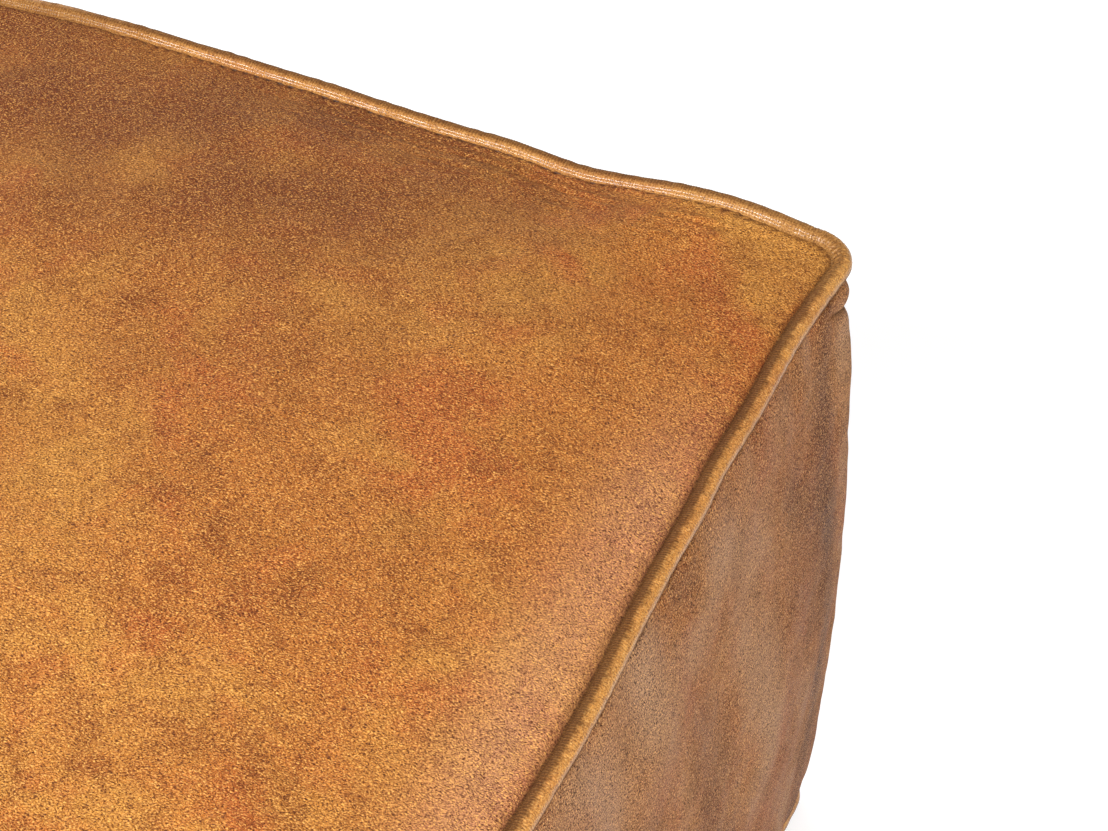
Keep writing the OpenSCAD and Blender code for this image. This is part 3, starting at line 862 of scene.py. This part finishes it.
def woven(name, dark, light, pitch):
    """Plain-weave cloth: over-and-under threads from two crossed waves, with uneven yarns."""
    m = Shader(name)
    place = m.warp(pitch * 0.35, pitch * 6)
    split = m.add("ShaderNodeSeparateXYZ", {0: place})
    turns = math.pi / (pitch * MM)
    waves = [m.math("SINE", m.math("MULTIPLY", split.outputs[i], turns)) for i in range(3)]
    crossings = [m.math("MULTIPLY", waves[i], waves[i + 1]) for i in range(2)]
    weave = m.math("ADD", crossings[0], crossings[1])
    yarn = m.noise(pitch * 3, 3.0, 0.6)
    share = m.math("ADD", m.remap(weave, -1.0, 1.0, 0.0, 0.7), m.remap(yarn, 0.3, 0.7, 0.0, 0.3))
    colour = m.mix(share, dark, light)
    normal = m.bump(weave, 0.12)
    return m.set(Base_Color=colour, Roughness=0.85, Normal=normal, Sheen_Weight=0.2)


def brass_material():
    m = Shader("antiqued_brass")
    stain = m.noise(4, 4.0, 0.65)
    scratch = m.noise(1.2, 2.0, 0.5, place=m.stretch((0.15, 1, 1)))
    colour = m.mix(m.remap(stain, 0.4, 0.68), srgb(186, 150, 88), srgb(106, 76, 38))
    shine = m.remap(scratch, 0.3, 0.7, 0.24, 0.46)
    return m.set(Base_Color=colour, Metallic=1.0, Roughness=shine, Normal=m.bump(scratch, 0.02))


def wadding_material():
    m = Shader("fibre_wadding")
    fibres = m.noise(1.2, 4.0, 0.75, 1.5)
    tufts = m.noise(14, 3.0, 0.6)
    colour = m.mix(m.remap(tufts, 0.35, 0.65), srgb(222, 222, 216), srgb(246, 246, 243))
    normal = m.bump(fibres, 0.8, m.bump(tufts, 3.0))
    return m.set(Base_Color=colour, Roughness=0.95, Normal=normal, Sheen_Weight=0.4)


def foam_material():
    m = Shader("open_cell_foam")
    pores = m.cells(1.1)
    tone = m.noise(40, 2.0)
    colour = m.mix(m.remap(pores, 0.1, 0.5), srgb(190, 168, 104), srgb(236, 220, 160))
    colour = m.mix(m.remap(tone, 0.4, 0.65, 0, 0.35), colour, srgb(214, 190, 120))
    return m.set(Base_Color=colour, Roughness=0.92, Normal=m.bump(pores, 0.4))


def floor_material():
    m = Shader("pale_floor")
    tone = m.noise(300, 2.0)
    colour = m.mix(m.remap(tone, 0.3, 0.7), srgb(248, 248, 248), srgb(252, 252, 252))
    white = (1, 1, 1, 1)
    return m.set(Base_Color=colour, Roughness=0.6, Emission_Color=white, Emission_Strength=0.2)


# ---------------------------------------------------------------- stitches

THREAD_R = 0.45
SPINDLE = ((-0.5, 0.25), (-0.36, 0.9), (0.0, 1.0), (0.36, 0.9), (0.5, 0.25))


def stitches(name, places, directions, length):
    """Short waxed threads: a tapered spindle at each place, along each direction. SPINDLE gives
    each section's place as a share of the length, and its share of the radius."""
    turns = 6
    side = np.cross(directions, UP)
    side /= np.linalg.norm(side, axis=1)[:, None]
    above = np.cross(side, directions)
    rows = []
    for share, width in SPINDLE:
        middle = places + directions * (share * length)
        for k in range(turns):
            a = 2 * math.pi * k / turns
            ray = side * math.cos(a) + above * math.sin(a)
            rows.append(middle + ray * (THREAD_R * width))
    count = len(places)
    points = np.stack(rows, 1).reshape(-1, 3)
    per = len(SPINDLE) * turns
    faces = []
    for i in range(0, per - turns, turns):
        for k in range(turns):
            j = (k + 1) % turns
            faces.append([i + k, i + j, i + turns + j, i + turns + k])
    base = np.arange(count)[:, None, None] * per
    quads = (base + np.array(faces)[None]).reshape(-1, 4)
    ends = [list(range(turns))[::-1], [per - turns + k for k in range(turns)]]
    caps = (base + np.array(ends)[None]).reshape(-1, turns)
    piece = make_piece(name, points, [quads, caps])
    outward(piece)
    return piece


STITCH_W = 1.6


def top_stitches():
    """The top seam's stitches, buried in the leather except along the back edge."""
    s = np.arange(round(LOOP / STITCH)) * STITCH
    buried = 1.7 - 1.35 * bump(from_corner(s), 180, 160, 6)
    at = top_base(s, STITCH_W) - UP * buried[:, None]
    ahead = top_base(s + 1, STITCH_W) - top_base(s - 1, STITCH_W)
    ahead /= np.linalg.norm(ahead, axis=1)[:, None]
    return stitches("top_stitches", at, ahead, 3.6)


ZIP_STITCH = 5.0
ZIP_ROW_H = 175.0
ZIP_ROW_Y = 11.5
ZIP_ROW_Z = 5.55


def zip_stitches():
    """A row of stitches along each side of the zip, through the base leather and the tapes."""
    along = np.arange(-ZIP_ROW_H, ZIP_ROW_H + 1, ZIP_STITCH)
    rows = [np.stack([along, np.full_like(along, y), np.full_like(along, ZIP_ROW_Z)], 1)
            for y in (-ZIP_ROW_Y, ZIP_ROW_Y)]
    at = np.concatenate(rows)
    return stitches("zip_stitches", at, np.tile([1.0, 0, 0], (len(at), 1)), 3.2)


# ---------------------------------------------------------------- scene

EYE = (0.5149, -0.7145, 1.3037)
LOOK_DOWN = 46
TURN = 24.5
LENS = 97.5
FLOOR_SIZE = 40.0


def camera():
    data = bpy.data.cameras.new("camera")
    data.lens = LENS
    data.sensor_width = 36
    data.sensor_fit = "HORIZONTAL"
    camera_object = bpy.data.objects.new("camera", data)
    camera_object.location = EYE
    camera_object.rotation_euler = (math.radians(90 - LOOK_DOWN), 0, math.radians(TURN))
    bpy.context.scene.collection.objects.link(camera_object)
    bpy.context.scene.camera = camera_object


def area_light(name, place, target, size, power):
    data = bpy.data.lights.new(name, "AREA")
    data.shape = "RECTANGLE"
    data.size, data.size_y = size
    data.energy = power
    light = bpy.data.objects.new(name, data)
    light.location = place
    aim = Vector(target) - Vector(place)
    light.rotation_euler = aim.to_track_quat("-Z", "Y").to_euler()
    bpy.context.scene.collection.objects.link(light)


def studio():
    """A soft key from the front right, a strip whose reflection runs along the piping of the back
    edge, and a weak fill from behind, in a pale room."""
    world = bpy.data.worlds.new("studio")
    world.use_nodes = True
    background = world.node_tree.nodes["Background"]
    background.inputs["Color"].default_value = (1, 1, 1, 1)
    background.inputs["Strength"].default_value = 0.36
    bpy.context.scene.world = world
    area_light("key", place=(1.25, -1.42, 2.19), target=(0.1, 0.0, 0.38),
               size=(0.74, 0.74), power=67)
    area_light("edge_strip", place=(-0.88, -1.2, 1.9), target=(-0.88, 0.23, 0.4),
               size=(1.7, 0.09), power=42)
    area_light("back_fill", place=(-1.2, 1.3, 1.3), target=(0, 0, 0.3),
               size=(1.2, 0.8), power=4.5)
    bpy.context.scene.view_settings.view_transform = "Standard"


def floor():
    mesh = bpy.data.meshes.new("floor")
    h = FLOOR_SIZE / 2
    mesh.from_pydata([(-h, -h, 0), (h, -h, 0), (h, h, 0), (-h, h, 0)], [], [(0, 1, 2, 3)])
    plane = bpy.data.objects.new("floor", mesh)
    bpy.context.scene.collection.objects.link(plane)
    plane.data.materials.append(floor_material())


# ---------------------------------------------------------------- the pouf

camera()
studio()
floor()

hide = cover_leather()
side_hide = side_leather_material()
trim = piping_leather()
thread = thread_material()
brass = brass_material()
tape = woven("zip_tape_weave", srgb(48, 28, 18), srgb(80, 50, 34), 0.6)
calico = woven("calico_weave", srgb(206, 190, 158), srgb(238, 228, 204), 0.7)
cotton = woven("cotton_cord", srgb(200, 182, 146), srgb(236, 224, 196), 0.9)

finish_piece(top_leather(), "pouf", hide, ["top_panel"])
for side_name, half in (("right", 1), ("left", -1)):
    side_piece = side_leather("side_leather_" + side_name, half)
    finish_piece(side_piece, "pouf", side_hide, ["side_band_" + side_name])
for edge, edge_z, waves in (("top", EDGE_Z, 1), ("base", BASE_Z, 0)):
    cover = piping(edge + "_piping_leather", edge_z, waves)
    finish_piece(cover, "pouf", trim, [edge + "_piping"])
for edge, edge_z, waves in (("top", EDGE_Z, 1), ("base", BASE_Z, 0)):
    cord = twisted_cord(edge + "_cord", edge_z, waves)
    finish_piece(cord, "pouf", cotton, [edge + "_piping_cord"])
fibre = wadding_material()
finish_piece(top_wadding(), "pouf", fibre, ["fibre_top"])
finish_piece(belt_wadding(), "pouf", fibre, ["fibre_belt"])
finish_piece(liner_lid(), "pouf", calico, ["liner_lid"])
finish_piece(liner_side(), "pouf", calico, ["liner_side"])
finish_piece(top_stitches(), "pouf", thread, ["top_seam_thread"])
finish_piece(zip_stitches(), "pouf", thread, ["zip_seam_thread"])

KEPT = {
    "base_panel_front": hide, "base_panel_back": hide, "base_seam_thread": thread,
    "liner_base": calico, "fibre_base": fibre, "foam_core": foam_material(),
    "zip_tape_front": tape, "zip_tape_back": tape,
    "zip_teeth_front": brass, "zip_teeth_back": brass,
    "zip_top_stops": brass, "zip_bottom_stop": brass, "zip_slider": brass, "zip_pull": brass,
}
for node_name, material in KEPT.items():
    nodes[node_name].data.materials.clear()
    nodes[node_name].data.materials.append(material)

for node_name in ("zip_slider", "zip_pull", "zip_top_stops", "zip_bottom_stop"):
    edges = nodes[node_name].modifiers.new("soft_edges", "BEVEL")
    edges.width = 0.15 * MM
    edges.segments = 2
    edges.limit_method = "ANGLE"
